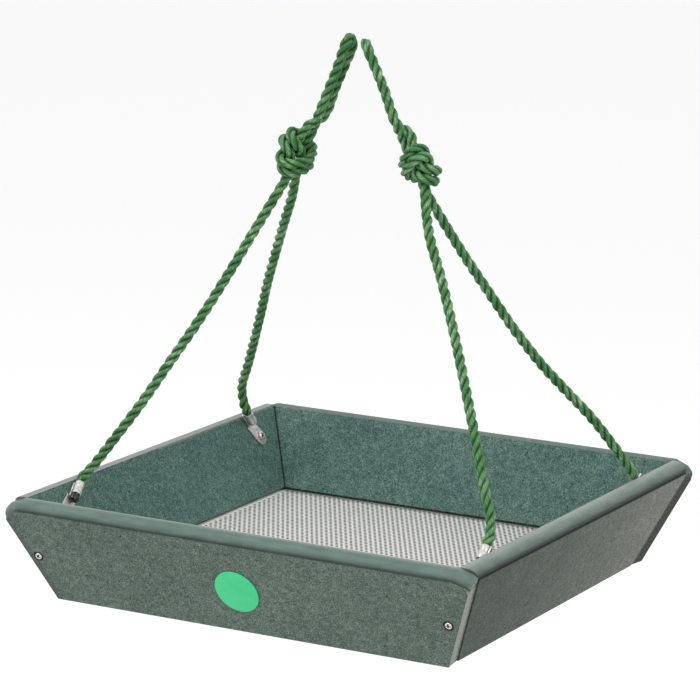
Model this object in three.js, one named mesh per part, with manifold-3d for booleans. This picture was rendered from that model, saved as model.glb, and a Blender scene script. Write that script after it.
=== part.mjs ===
// A hanging tray bird table: four flared boards round a perforated metal floor, hung from two knotted ropes.
// Millimetres, +Z up. The origin is the middle of the tray at its bottom edges, and the front board faces -Y.

import * as THREE from 'three';
import { mergeVertices } from 'three/addons/utils/BufferGeometryUtils.js';
import Module from 'manifold-3d';

const wasm = await Module();
wasm.setup();

// The tray
const traySquare = 317.5; // the square that the flared faces reach at the height of the rim
const trayHeight = 63.5;
const boardThickness = 12.7;
const flare = THREE.MathUtils.degToRad(23.5); // how far each board leans out from upright
const sideSetback = 1.2; // the side boards stand this far inside the ends of the front and back boards
const touchGap = 0.3; // the clearance between pieces that touch
const overrun = 5; // how far a cutter runs past what it cuts

// The rim's round-over and the clipped top corners
const rimRound = 6;
const rimShoulder = 0.8;
const rimRoundSteps = 6;
const clipSlopes = [ // a clipped corner falls in two slopes, each from the end of the one before
  { run: 8, drop: 2.8 },
  { run: 3, drop: 2.7 },
];

// The floor screen in its saw kerf
const screenThickness = 1.2;
const screenTop = 13;
const kerfDepth = 3;
const kerfHeight = 3.2; // the screen lies on the bottom of the kerf
const screenHolePitch = 20.2;
const screenHoleRadius = 6.7;
const screenHoleSides = 6;
const screenPlainEdge = 4; // the unpunched strip beside the boards

// The fasteners
const fastenerSides = 12;
// A corner screw's inset is from the outer face of the side board that it runs into,
// and a lug screw's from the inner face of the end board beside it.
const cornerScrew = {
  inset: 5.5, height: 28.4, headRadius: 2.6, headHeight: 1.6,
  shankRadius: 1.5, length: 30, point: 3, pocket: 1.1,
};
const lugScrew = {
  inset: 24, height: 48.8, headRadius: 2.9, headHeight: 2, shankRadius: 1.5, length: 10.5, point: 2,
};
const headShoulderShare = 0.55; // a pan head's upright edge, of its height
const headCrownShare = 0.6; // a pan head's flat crown, of its radius

// The round label
const labelRadius = 14.3;
const labelThickness = 0.6;
const labelHeight = 27.6;
const labelSides = 32;

// The rope lugs: a flat palm under the screw, then a strip with the crimped barrel on it
const lug = {
  sheet: 1.2, palmHalfWidth: 5, palmTip: 6.4, neck: 12, neckOverlap: 0.8, stripHalfWidth: 4,
  barrelRadius: 2.9, barrelWall: 0.7, barrelLength: 9.5, barrelSetback: 1.2, weld: 0.3, barrelSides: 14,
};
const palmTipShare = 0.7; // how full the palm's pointed end is, of its reach and half width
const palmNeckShare = 0.55; // where the palm starts to narrow, of its neck
// A rope's tail is how far its melted end shows below the barrel, or stays up inside it when negative.
const lugs = [
  { name: 'front_left', side: -1, end: -1, lean: 55, bend: 2, ropeFree: 5, tail: 2 },
  { name: 'back_left', side: -1, end: 1, lean: 38, bend: 14, ropeFree: 5, tail: -2 },
  { name: 'front_right', side: 1, end: -1, lean: 52, bend: 16, ropeFree: 6, tail: 2 },
  { name: 'back_right', side: 1, end: 1, lean: 52, bend: 2, ropeFree: 6, tail: -2 },
];

// The ropes
const ropeRadius = 3.175;
const ropeSides = 8;
const ropeDiameter = 2 * ropeRadius;
const legStepShare = 2.5; // the spacing of a leg's rings, of the rope's diameter
const legStep = legStepShare * ropeDiameter;
const loopStep = ropeDiameter;
const bridles = [
  {
    name: 'left',
    frontLeg: [
      [-139.3, -91.9, 65.1], [-136, -86.2, 71], [-126.4, -82.3, 84.9], [-111.1, -70.8, 110.3],
      [-98.2, -58.4, 135.5], [-85.3, -46.1, 160.7], [-73.8, -34.5, 185.6], [-63, -23.4, 210.6],
      [-53.5, -13.5, 233], [-48.3, -8, 246.5],
    ],
    backLeg: [
      [-138.4, 98.4, 70.9], [-137.4, 92.2, 85.6], [-128, 83.9, 103.8], [-116, 72.1, 125.5],
      [-104.3, 60.2, 147], [-93.2, 48.5, 168.1], [-81.4, 37.4, 189], [-69.6, 26.4, 209.4],
      [-56.8, 14.6, 230.9], [-47.3, 4, 245],
    ],
    loop: [
      [-37.7, -4.5, 264.5], [-29.7, -3.1, 283], [-21.7, -2.9, 302], [-15, -3.2, 318],
      [-12, -3.9, 326], [-10.2, 0, 332.4], [-10.9, 4.6, 326], [-14.3, 4.1, 317.5],
      [-21.4, 3.9, 301.5], [-29.4, 3.7, 282.5], [-37.3, 2.7, 264],
    ],
    knot: [-44.5, -2.5, 260],
  },
  {
    name: 'right',
    frontLeg: [
      [136.1, -93.3, 67.4], [133.1, -86.2, 76.7], [124.7, -79.1, 92.1], [114.6, -69.5, 113.4],
      [104, -60, 134.8], [93.1, -50.4, 156.5], [81.8, -40.9, 178.3], [69.9, -31.5, 200.3],
      [57.1, -22.5, 222.5], [46.5, -15, 243], [42.7, -11.5, 252.5],
    ],
    backLeg: [
      [140, 92, 66.8], [131.9, 84.1, 82.4], [119.7, 76, 100.9], [107.4, 64.1, 118.8],
      [95.5, 52.7, 136.3], [83, 40.3, 158.3], [71.9, 28.9, 180.6], [61.1, 17.8, 202.8],
      [51, 7.3, 225.1], [45.4, 1.4, 242], [44, 0, 249.5],
    ],
    loop: [
      [33.6, -10.2, 267.5], [25.4, -7.8, 284.8], [16.1, -5.7, 303.5], [8.1, -4.3, 318.5],
      [4.8, -4.7, 324.5], [0.2, 0, 329.6], [0.8, 4, 323], [4.9, 2.2, 316.5],
      [13.6, 0.2, 301.5], [23, -1.8, 282.8], [31.2, -3.7, 266.5],
    ],
    knot: [40.5, -5, 260.5],
  },
];

// The knots: pairs of turns laid over a core, about as big as the tied rope
const knot = {
  coreRadius: 8.6, coreLength: 23, coreSides: 8,
  turnRadius: 9, turnThickness: 3.4, turnSteps: 13, turnSides: 6,
};
const knotTurns = [
  { alongShare: -0.72, tilt: 24, swing: 0 },
  { alongShare: -0.12, tilt: 24, swing: 0 },
  { alongShare: 0.3, tilt: -38, swing: 70 },
  { alongShare: 0.86, tilt: -38, swing: 70 },
];

// Places on the boards, in the frame of a board that faces +X with its length along Y
const halfBottom = traySquare / 2 - trayHeight * Math.tan(flare);
const levelThickness = boardThickness / Math.cos(flare);
const outerFace = (z, setback) => halfBottom - setback + z * Math.tan(flare);
const innerFace = (z, setback) => outerFace(z, setback) - levelThickness;
const upTheFace = new THREE.Vector3(Math.sin(flare), 0, Math.cos(flare));
const outOfTheFace = new THREE.Vector3(Math.cos(flare), 0, -Math.sin(flare));
const upright = new THREE.Vector3(0, 0, 1);
const origin = new THREE.Vector3();
const lengthwise = new THREE.Vector3(0, 1, 0);

// The frame of a board's section, which is drawn in X and Z and runs along Y
const sideways = new THREE.Vector3(1, 0, 0);
const sectionFrame = new THREE.Matrix4().makeBasis(sideways, upright, lengthwise.clone().negate());

// Solids and geometries
function toSolid(geometry) {
  const bare = geometry.clone();
  bare.deleteAttribute('normal');
  bare.deleteAttribute('uv');
  const merged = mergeVertices(bare);
  return new wasm.Manifold(new wasm.Mesh({
    numProp: 3,
    vertProperties: new Float32Array(merged.attributes.position.array),
    triVerts: new Uint32Array(merged.index.array),
  }));
}

function toGeometry(solid) {
  const { vertProperties, triVerts } = solid.getMesh();
  const geometry = new THREE.BufferGeometry();
  geometry.setAttribute('position', new THREE.BufferAttribute(new Float32Array(vertProperties), 3));
  geometry.setIndex(new THREE.BufferAttribute(new Uint32Array(triVerts), 1));
  geometry.computeVertexNormals();
  return geometry;
}

// An outline extruded along the third direction of a frame
function prism(outline, low, high, frame) {
  const shape = new THREE.Shape(outline.map(([p, q]) => new THREE.Vector2(p, q)));
  const geometry = new THREE.ExtrudeGeometry(shape, { depth: high - low, bevelEnabled: false });
  return toSolid(geometry.translate(0, 0, low).applyMatrix4(frame));
}

// A profile of radius and height, turned about the line that leaves a point in a direction
function turned(profile, at, direction, sides) {
  const points = profile.map(([r, h]) => new THREE.Vector2(r, h));
  const turn = new THREE.Quaternion().setFromUnitVectors(lengthwise, direction);
  const frame = new THREE.Matrix4().compose(at, turn, new THREE.Vector3(1, 1, 1));
  return toSolid(new THREE.LatheGeometry(points, sides).applyMatrix4(frame));
}

const rod = (radius, low, high, at, direction, sides) => (
  turned([[0, low], [radius, low], [radius, high], [0, high]], at, direction, sides)
);

function node(name, geometry, material) {
  const mesh = new THREE.Mesh(geometry, material);
  mesh.name = name;
  return mesh;
}

// Finishes
const board = () => new THREE.MeshStandardMaterial({ color: 0x3f5c52, roughness: 0.75 });
const steel = () => new THREE.MeshStandardMaterial({ color: 0xc4c6c6, roughness: 0.35, metalness: 0.9 });
const whiteCoat = () => new THREE.MeshStandardMaterial({ color: 0xe4e4e0, roughness: 0.5, metalness: 0.2 });
const twine = () => new THREE.MeshStandardMaterial({ color: 0x2a7238, roughness: 0.6 });
const labelGreen = () => new THREE.MeshStandardMaterial({ color: 0x2db473, roughness: 0.45 });

// The frame of a lug: X along the lug from its screw, Z out of the inner face of its side board
function lugFrame({ side, end, lean }) {
  const screwX = innerFace(lugScrew.height, sideSetback);
  const endY = end * (innerFace(lugScrew.height, 0) - lugScrew.inset);
  const at = new THREE.Vector3(side * screwX, endY, lugScrew.height);
  const up = new THREE.Vector3(side * upTheFace.x, 0, upTheFace.z);
  const out = new THREE.Vector3(-side * outOfTheFace.x, 0, -outOfTheFace.z);
  const angle = THREE.MathUtils.degToRad(lean);
  const inward = new THREE.Vector3(0, -end, 0);
  const along = up.multiplyScalar(Math.cos(angle)).addScaledVector(inward, Math.sin(angle));
  const across = new THREE.Vector3().crossVectors(out, along);
  return new THREE.Matrix4().makeBasis(along, across, out).setPosition(at);
}

// The line of a lug's barrel in the lug's own frame: where it starts, and the way the rope leaves it
function barrelLine({ bend }) {
  const angle = THREE.MathUtils.degToRad(bend);
  const along = new THREE.Vector3(Math.cos(angle), 0, Math.sin(angle));
  const off = new THREE.Vector3(-Math.sin(angle), 0, Math.cos(angle));
  const height = touchGap + lug.sheet + lug.barrelRadius - lug.weld;
  const start = new THREE.Vector3(lug.neck, 0, 0);
  start.addScaledVector(along, lug.barrelSetback).addScaledVector(off, height);
  return { start, along, off };
}

// Where the screws stand, and the way their heads face
const cornerScrewLines = lugs.map(({ name, side, end }) => {
  const x = side * (outerFace(cornerScrew.height, sideSetback) - cornerScrew.inset);
  const y = end * outerFace(cornerScrew.height, 0);
  const out = new THREE.Vector3(0, end * outOfTheFace.x, outOfTheFace.z);
  const at = new THREE.Vector3(x, y, cornerScrew.height).addScaledVector(out, -cornerScrew.pocket + touchGap);
  return { name, at, out };
});

const lugScrewLines = lugs.map((one) => {
  const frame = lugFrame(one);
  const at = new THREE.Vector3(0, 0, touchGap + lug.sheet + touchGap).applyMatrix4(frame);
  const out = new THREE.Vector3(0, 0, 1).transformDirection(frame);
  return { name: one.name, at, out };
});

// A pan-head screw with its head's underside at a point, and the hole that clears it
function screw({ at, out }, size) {
  const { shankRadius, headRadius, headHeight, length } = size;
  const profile = [
    [0, -length], [shankRadius, -length + size.point], [shankRadius, 0], [headRadius, 0],
    [headRadius, headHeight * headShoulderShare], [headRadius * headCrownShare, headHeight],
    [0, headHeight],
  ];
  return turned(profile, at, out, fastenerSides);
}

function screwHole({ at, out }, size) {
  const radius = size.shankRadius + touchGap;
  return rod(radius, -size.length - touchGap, size.headHeight, at, out, fastenerSides);
}

function headPocket({ at, out }) {
  return rod(cornerScrew.headRadius + touchGap, -touchGap, overrun, at, out, fastenerSides);
}

// The rim's quarter round: from the shoulder on the face up to the flat top
function quarterRound(centreX, centreZ, radius) {
  return Array.from({ length: rimRoundSteps + 1 }, (_, k) => {
    const angle = (k / rimRoundSteps) * (Math.PI / 2);
    return [centreX + radius * Math.cos(angle), centreZ + radius * Math.sin(angle)];
  });
}

// A board's section: level bottom, flared faces, a shoulder under the rounded outer edge, a crisp inner edge
function boardBlank(setback) {
  const shoulderZ = trayHeight - rimRound;
  const roundX = outerFace(shoulderZ, setback) - rimShoulder - rimRound;
  const section = [
    [innerFace(0, setback), 0], [outerFace(0, setback), 0], [outerFace(shoulderZ, setback), shoulderZ],
    ...quarterRound(roundX, shoulderZ, rimRound), [innerFace(trayHeight, setback), trayHeight],
  ];
  return prism(section, -traySquare / 2 - overrun, traySquare / 2 + overrun, sectionFrame);
}

// The screen's edge runs in this kerf, sawn level into the inner face
const kerfFace = (setback) => innerFace(screenTop, setback) + kerfDepth;

function kerf(setback, halfLength) {
  const low = screenTop - screenThickness - touchGap;
  const high = low + kerfHeight;
  const inside = innerFace(0, setback) - overrun;
  const outline = [[inside, low], [kerfFace(setback), low], [kerfFace(setback), high], [inside, high]];
  return prism(outline, -halfLength, halfLength, sectionFrame);
}

// The front and back boards end square to their faces, along the flare of the side boards
function squareEnds() {
  const reach = trayHeight / Math.cos(flare) + overrun;
  const below = -levelThickness;
  const half = (v) => halfBottom + v * Math.sin(flare);
  const outline = [[-half(below), below], [half(below), below], [half(reach), reach], [-half(reach), reach]];
  const frame = new THREE.Matrix4().makeBasis(lengthwise, upTheFace, outOfTheFace);
  frame.setPosition(new THREE.Vector3(halfBottom, 0, 0));
  return prism(outline, -boardThickness - overrun, overrun, frame);
}

// The side boards butt against the inner faces of the front and back boards
function buttEnds() {
  const half = (z) => innerFace(z, 0) - touchGap;
  const low = -overrun;
  const high = trayHeight + overrun;
  const outline = [[-half(low), low], [half(low), low], [half(high), high], [-half(high), high]];
  const frame = new THREE.Matrix4().makeBasis(lengthwise, upright, new THREE.Vector3(1, 0, 0));
  return prism(outline, 0, traySquare, frame);
}

// Everything under one slope of a clipped top corner, with the rim's round-over carried down it
function underSlope(end, startY, startZ, { run, drop }) {
  const fallAngle = Math.atan2(drop, run);
  const [fall, spread] = [Math.sin(fallAngle), Math.cos(fallAngle)];
  const lift = new THREE.Vector3(0, end * fall, spread);
  const third = new THREE.Vector3(end * fall * Math.tan(flare), -spread, end * fall);
  const frame = new THREE.Matrix4().makeBasis(sideways, lift, third);
  frame.setPosition(new THREE.Vector3(outerFace(startZ, 0), end * startY, startZ));
  const face = (q) => q * spread * Math.tan(flare);
  const roundX = face(-rimRound) - rimShoulder - rimRound;
  const deep = -2 * traySquare;
  const outline = [
    [deep, 0], [deep, deep], [face(deep) + overrun, deep], [face(-rimRound) + overrun, -rimRound],
    ...quarterRound(roundX, -rimRound, rimRound),
  ];
  return prism(outline, -2 * traySquare, 2 * traySquare, frame);
}

// A clipped corner starts over the side board's inner edge
function clippedCorner(solid, end) {
  let [y, z] = [innerFace(trayHeight, sideSetback), trayHeight];
  let left = solid;
  for (const slope of clipSlopes) {
    left = left.intersect(underSlope(end, y, z, slope));
    [y, z] = [y + slope.run, z - slope.drop];
  }
  return left;
}

// A board turned to face its side of the tray, less every screw that runs into it
function fastenedBoard(solid, turn) {
  const about = (v) => v.clone().applyAxisAngle(upright, -turn);
  const local = ({ at, out }) => ({ at: about(at), out: about(out) });
  let left = solid;
  for (const line of cornerScrewLines.map(local)) {
    left = left.subtract(screwHole(line, cornerScrew)).subtract(headPocket(line));
  }
  for (const line of lugScrewLines.map(local)) {
    left = left.subtract(screwHole(line, lugScrew));
  }
  return left;
}

function endBoard(name, turn) {
  const halfKerf = kerfFace(sideSetback);
  let solid = boardBlank(0).intersect(squareEnds());
  solid = clippedCorner(clippedCorner(solid, -1), 1).subtract(kerf(0, halfKerf));
  const mesh = node(name, toGeometry(fastenedBoard(solid, turn)), board());
  mesh.rotation.z = turn;
  return mesh;
}

function sideBoard(name, turn) {
  const solid = boardBlank(sideSetback).intersect(buttEnds()).subtract(kerf(sideSetback, traySquare));
  const mesh = node(name, toGeometry(fastenedBoard(solid, turn)), board());
  mesh.rotation.z = turn;
  return mesh;
}

// The floor: one sheet with staggered round holes, its edges in the kerfs
function screenFloor() {
  const halfX = kerfFace(sideSetback) - touchGap;
  const halfY = kerfFace(0) - touchGap;
  const sheet = new THREE.Shape([[-halfX, -halfY], [halfX, -halfY], [halfX, halfY], [-halfX, halfY]].map(
    ([x, y]) => new THREE.Vector2(x, y),
  ));
  const rowPitch = screenHolePitch * Math.sin(Math.PI / 3);
  const clearX = innerFace(screenTop, sideSetback) - screenPlainEdge - screenHoleRadius;
  const clearY = innerFace(screenTop, 0) - screenPlainEdge - screenHoleRadius;
  const rows = Math.floor(clearY / rowPitch);
  const columns = Math.floor(clearX / screenHolePitch);
  for (let i = -rows; i <= rows; i += 1) {
    const odd = Math.abs(i % 2) === 1;
    const shift = odd ? screenHolePitch / 2 : 0;
    for (let j = -columns - (odd ? 1 : 0); j <= columns; j += 1) {
      const centre = new THREE.Vector2(j * screenHolePitch + shift, i * rowPitch);
      if (Math.abs(centre.x) <= clearX) sheet.holes.push(roundHole(centre));
    }
  }
  const geometry = new THREE.ExtrudeGeometry(sheet, { depth: screenThickness, bevelEnabled: false });
  const mesh = node('screen_floor', geometry, whiteCoat());
  mesh.position.z = screenTop - screenThickness;
  return mesh;
}

function roundHole(centre) {
  const path = new THREE.Path();
  path.setFromPoints(Array.from({ length: screenHoleSides }, (_, k) => {
    const angle = (-2 * Math.PI * k) / screenHoleSides;
    return new THREE.Vector2(Math.cos(angle), Math.sin(angle)).multiplyScalar(screenHoleRadius).add(centre);
  }));
  return path;
}

// The round label, bare, on the front board's outer face
function roundLabel() {
  const at = new THREE.Vector3(0, -outerFace(labelHeight, 0), labelHeight);
  const out = new THREE.Vector3(0, -outOfTheFace.x, outOfTheFace.z);
  const disc = rod(labelRadius, touchGap, touchGap + labelThickness, at, out, labelSides);
  return node('round_label', toGeometry(disc), labelGreen());
}

// A lug in its own frame: pointed palm with its screw hole, bent strip, and the crimped barrel
function ropeLug(one) {
  const { palmHalfWidth: half, palmTip: tip, neck, stripHalfWidth: strip } = lug;
  const palm = new THREE.Shape();
  palm.moveTo(neck + lug.neckOverlap, -strip);
  palm.lineTo(neck, -strip);
  palm.bezierCurveTo(neck * palmNeckShare, -strip, neck * palmNeckShare, -half, 0, -half);
  palm.bezierCurveTo(-tip * palmTipShare, -half, -tip, -half * palmTipShare, -tip, 0);
  palm.bezierCurveTo(-tip, half * palmTipShare, -tip * palmTipShare, half, 0, half);
  palm.bezierCurveTo(neck * palmNeckShare, half, neck * palmNeckShare, strip, neck, strip);
  palm.lineTo(neck + lug.neckOverlap, strip);
  const sheet = new THREE.ExtrudeGeometry(palm, { depth: lug.sheet, bevelEnabled: false, curveSegments: 4 });
  const hole = rod(lugScrew.shankRadius + touchGap, 0, overrun, origin, upright, fastenerSides);
  const { start, along, off } = barrelLine(one);
  const bent = new THREE.Matrix4().makeBasis(along, lengthwise, off);
  bent.setPosition(new THREE.Vector3(neck, 0, 0));
  const stripEnd = lug.barrelSetback + lug.barrelLength;
  const base = [[0, -strip], [stripEnd, -strip], [stripEnd, strip], [0, strip]];
  const bore = lug.barrelRadius - lug.barrelWall;
  const solid = toSolid(sheet.translate(0, 0, touchGap)).subtract(hole)
    .add(prism(base, touchGap, touchGap + lug.sheet, bent))
    .add(rod(lug.barrelRadius, 0, lug.barrelLength, start, along, lug.barrelSides))
    .subtract(rod(bore, -overrun, lug.barrelLength + overrun, start, along, lug.barrelSides));
  const mesh = node(`lug_${one.name}`, toGeometry(solid), steel());
  mesh.applyMatrix4(lugFrame(one));
  return mesh;
}

// The end of a rope: squeezed through the barrel, full size above it, up to the point where the rope bends
function ropeFoot(one) {
  const { start, along } = barrelLine(one);
  const squeezed = lug.barrelRadius - lug.barrelWall - touchGap;
  const mouth = lug.barrelLength + touchGap;
  const bendPoint = lug.barrelLength + one.ropeFree;
  const profile = [
    [0, -one.tail], [squeezed, -one.tail], [squeezed, mouth], [ropeRadius, mouth],
    [ropeRadius, bendPoint - ropeRadius - touchGap], [0, bendPoint - ropeRadius - touchGap],
  ];
  const solid = turned(profile, start, along, lug.barrelSides);
  const mesh = node(`rope_foot_${one.name}`, toGeometry(solid), twine());
  mesh.applyMatrix4(lugFrame(one));
  return mesh;
}

// A rope along its hand-laid points
const routeOf = (points) => (
  new THREE.CatmullRomCurve3(points.map((p) => new THREE.Vector3(...p)), false, 'centripetal')
);

function ropeTube(points, radius, step) {
  const route = routeOf(points);
  const section = new THREE.Shape(Array.from({ length: ropeSides }, (_, k) => {
    const angle = (2 * Math.PI * k) / ropeSides;
    return new THREE.Vector2(Math.cos(angle), Math.sin(angle)).multiplyScalar(radius);
  }));
  const steps = Math.ceil(route.getLength() / step);
  return toSolid(new THREE.ExtrudeGeometry(section, { steps, extrudePath: route, bevelEnabled: false }));
}

// A leg starts in a ball at the point where the rope bends over its lug
function ropeLeg(name, points) {
  const ball = new THREE.SphereGeometry(ropeRadius, ropeSides, ropeSides / 2).translate(...points[0]);
  const solid = ropeTube(points, ropeRadius, legStep).add(toSolid(ball));
  return node(name, toGeometry(solid), twine());
}

// The space that a rope end needs inside the knot
function ropeSocket(points, step) {
  const route = routeOf(points);
  const [end, direction] = [route.getPoint(1), route.getTangent(1)];
  const radius = ropeRadius + touchGap;
  return ropeTube(points, radius, step).add(rod(radius, -touchGap, touchGap, end, direction, ropeSides));
}

// An overhand knot in the doubled rope, as two pairs of crossing turns round a core
function ropeKnot(bridle) {
  const at = new THREE.Vector3(...bridle.knot);
  const loopEnds = [bridle.loop[0], bridle.loop[bridle.loop.length - 1]];
  const [first, last] = loopEnds.map((p) => new THREE.Vector3(...p));
  const exit = first.clone().add(last).divideScalar(2);
  const axis = exit.sub(at).normalize();
  const turn = new THREE.Quaternion().setFromUnitVectors(upright, axis);
  const half = knot.coreLength / 2;
  const core = Array.from({ length: knot.coreSides + 1 }, (_, k) => {
    const angle = (Math.PI * k) / knot.coreSides;
    return [knot.coreRadius * Math.sin(angle), -half * Math.cos(angle)];
  });
  let solid = turned(core, at, axis, knot.coreSides);
  for (const { alongShare, tilt, swing } of knotTurns) {
    const ring = new THREE.TorusGeometry(knot.turnRadius, knot.turnThickness, knot.turnSides, knot.turnSteps);
    ring.rotateX(THREE.MathUtils.degToRad(tilt)).rotateZ(THREE.MathUtils.degToRad(swing));
    ring.translate(0, 0, alongShare * half).applyQuaternion(turn).translate(at.x, at.y, at.z);
    solid = solid.add(toSolid(ring));
  }
  const loopBack = [...bridle.loop].reverse();
  for (const points of [bridle.frontLeg, bridle.backLeg]) solid = solid.subtract(ropeSocket(points, legStep));
  for (const points of [bridle.loop, loopBack]) solid = solid.subtract(ropeSocket(points, loopStep));
  return node(`rope_knot_${bridle.name}`, toGeometry(solid), twine());
}

function build() {
  const group = new THREE.Group();
  group.add(endBoard('front_board', -Math.PI / 2), endBoard('back_board', Math.PI / 2));
  group.add(sideBoard('left_board', Math.PI), sideBoard('right_board', 0));
  group.add(screenFloor(), roundLabel());
  for (const line of cornerScrewLines) {
    group.add(node(`corner_screw_${line.name}`, toGeometry(screw(line, cornerScrew)), steel()));
  }
  for (const line of lugScrewLines) {
    group.add(node(`lug_screw_${line.name}`, toGeometry(screw(line, lugScrew)), steel()));
  }
  for (const one of lugs) group.add(ropeLug(one), ropeFoot(one));
  for (const bridle of bridles) {
    group.add(ropeLeg(`rope_leg_front_${bridle.name}`, bridle.frontLeg));
    group.add(ropeLeg(`rope_leg_back_${bridle.name}`, bridle.backLeg));
    const loop = toGeometry(ropeTube(bridle.loop, ropeRadius, loopStep));
    group.add(node(`rope_loop_${bridle.name}`, loop, twine()));
    group.add(ropeKnot(bridle));
  }
  return group;
}

const group = build();
export default group;
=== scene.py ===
# %% [markdown]
# A hanging tray bird table, dressed in Blender.
# The real thing is a square tray of four flared recycled-plastic boards round a perforated metal floor.
# Two green ropes hang it: each is doubled over, tied in an overhand knot and crimped into two metal lugs.
# The plain solids come packed from the CAD side, and this lesson gives them their real surfaces.
# Everything is in metres, with +Z up and the front board facing -Y.

import math

import bmesh
import bpy
import numpy as np
from mathutils import Matrix, Vector, noise


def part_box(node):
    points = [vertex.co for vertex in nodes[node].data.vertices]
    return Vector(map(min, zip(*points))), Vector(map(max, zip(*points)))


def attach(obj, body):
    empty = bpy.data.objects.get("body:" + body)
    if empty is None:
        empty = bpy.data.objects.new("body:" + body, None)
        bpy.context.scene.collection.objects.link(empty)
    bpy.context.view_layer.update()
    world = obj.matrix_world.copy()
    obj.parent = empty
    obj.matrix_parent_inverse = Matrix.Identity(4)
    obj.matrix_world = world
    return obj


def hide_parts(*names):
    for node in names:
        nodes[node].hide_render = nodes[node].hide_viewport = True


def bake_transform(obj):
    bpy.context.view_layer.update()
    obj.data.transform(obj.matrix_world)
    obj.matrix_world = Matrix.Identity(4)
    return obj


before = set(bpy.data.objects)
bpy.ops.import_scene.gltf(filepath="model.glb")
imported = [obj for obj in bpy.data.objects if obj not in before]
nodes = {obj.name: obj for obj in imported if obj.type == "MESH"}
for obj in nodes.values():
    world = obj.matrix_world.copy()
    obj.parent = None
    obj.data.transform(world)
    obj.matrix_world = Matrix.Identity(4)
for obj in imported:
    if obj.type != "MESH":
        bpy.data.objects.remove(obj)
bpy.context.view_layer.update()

# %% [markdown]
# The camera comes first, because every piece is judged through it.
# It was fitted to the tray's edges in the picture: a long lens, about two metres away, looking
# down a little. Blender's camera looks along its own -Z with Y up, so the fitted directions go
# into a matrix column by column.

# %% The camera
MM = 0.001
PICTURE_WIDTH = 700
FOCAL_PIXELS = 3490.74
SENSOR_WIDTH = 36.0
camera_place = Vector((985.48, -1804.04, 584.80)) * MM
camera_right = Vector((0.874556, 0.484714, 0.014335))
camera_down = Vector((0.114077, -0.176915, -0.977593))
camera_ahead = Vector((-0.471316, 0.856594, -0.210017))

camera_data = bpy.data.cameras.new("tray_camera")
camera_data.sensor_width = SENSOR_WIDTH
camera_data.lens = FOCAL_PIXELS / PICTURE_WIDTH * SENSOR_WIDTH
camera_data.clip_end = 50
camera = bpy.data.objects.new("tray_camera", camera_data)
columns = Matrix((camera_right, -camera_down, -camera_ahead)).transposed()
camera.matrix_world = Matrix.Translation(camera_place) @ columns.to_4x4()
bpy.context.scene.collection.objects.link(camera)
bpy.context.scene.camera = camera
print("lens", round(camera_data.lens, 1), "mm")

# %% [markdown]
# The lugs decide where the ropes start. Each lug lies on the inner face of a side board,
# turned by its lean and with its barrel bent off the board, so its frame comes from those few values.
# The same values made the solids, so the ropes meet them with no fitting.

# %% The boards' faces and the frame of each lug
TRAY_SQUARE, TRAY_HEIGHT, BOARD = 317.5 * MM, 63.5 * MM, 12.7 * MM
FLARE = math.radians(23.5)
SIDE_SETBACK = 1.2 * MM
TOUCH_GAP = 0.3 * MM
HALF_BOTTOM = TRAY_SQUARE / 2 - TRAY_HEIGHT * math.tan(FLARE)


def inner_face(height, setback):
    return HALF_BOTTOM - setback + height * math.tan(FLARE) - BOARD / math.cos(FLARE)


LUG_SHEET, LUG_NECK = 1.2 * MM, 12 * MM
BARREL_RADIUS, BARREL_WALL, BARREL_LENGTH = 2.9 * MM, 0.7 * MM, 9.5 * MM
BARREL_SETBACK, BARREL_WELD, CROWN_DEPTH = 1.2 * MM, 0.3 * MM, 0.01 * MM
lugs = {
    "front_left": {"side": -1, "end": -1, "lean": 55, "bend": 2, "tail": 2},
    "back_left": {"side": -1, "end": 1, "lean": 38, "bend": 14, "tail": -2},
    "front_right": {"side": 1, "end": -1, "lean": 52, "bend": 16, "tail": 2},
    "back_right": {"side": 1, "end": 1, "lean": 52, "bend": 2, "tail": -2},
}


def middle_of_head(node, out):
    """The middle of a screw's flat crown, found from its solid."""
    points = np.array([v.co for v in nodes[node].data.vertices])
    height = points @ np.array(out)
    crown = points[height > height.max() - CROWN_DEPTH]
    return Vector((crown.min(0) + crown.max(0)) / 2)


for name, lug in lugs.items():
    side, end = lug["side"], lug["end"]
    out = Vector((-side * math.cos(FLARE), 0, math.sin(FLARE)))
    up = Vector((side * math.sin(FLARE), 0, math.cos(FLARE)))
    lean = math.radians(lug["lean"])
    along = up * math.cos(lean) + Vector((0, -end * math.sin(lean), 0))
    crown = middle_of_head("lug_screw_" + name, out)
    face = -inner_face(0, SIDE_SETBACK) * math.cos(FLARE)
    origin = crown - out * (crown.dot(out) - face)
    lug["frame"] = Matrix((along, out.cross(along), out)).transposed().to_4x4()
    lug["frame"].translation = origin
    bend = math.radians(lug["bend"])
    lug["turn"] = Matrix.Rotation(-bend, 4, "Y")
    lug["way"] = Vector((math.cos(bend), 0, math.sin(bend)))
    off = Vector((-math.sin(bend), 0, math.cos(bend)))
    lug["start"] = Vector((LUG_NECK, 0, 0)) + lug["way"] * BARREL_SETBACK
    lug["start"] += off * (TOUCH_GAP + LUG_SHEET + BARREL_RADIUS - BARREL_WELD)
    lug["mouth"] = lug["frame"] @ (lug["start"] + lug["way"] * BARREL_LENGTH)
    print(name, "mouth", [round(v / MM, 2) for v in lug["mouth"]])
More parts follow.
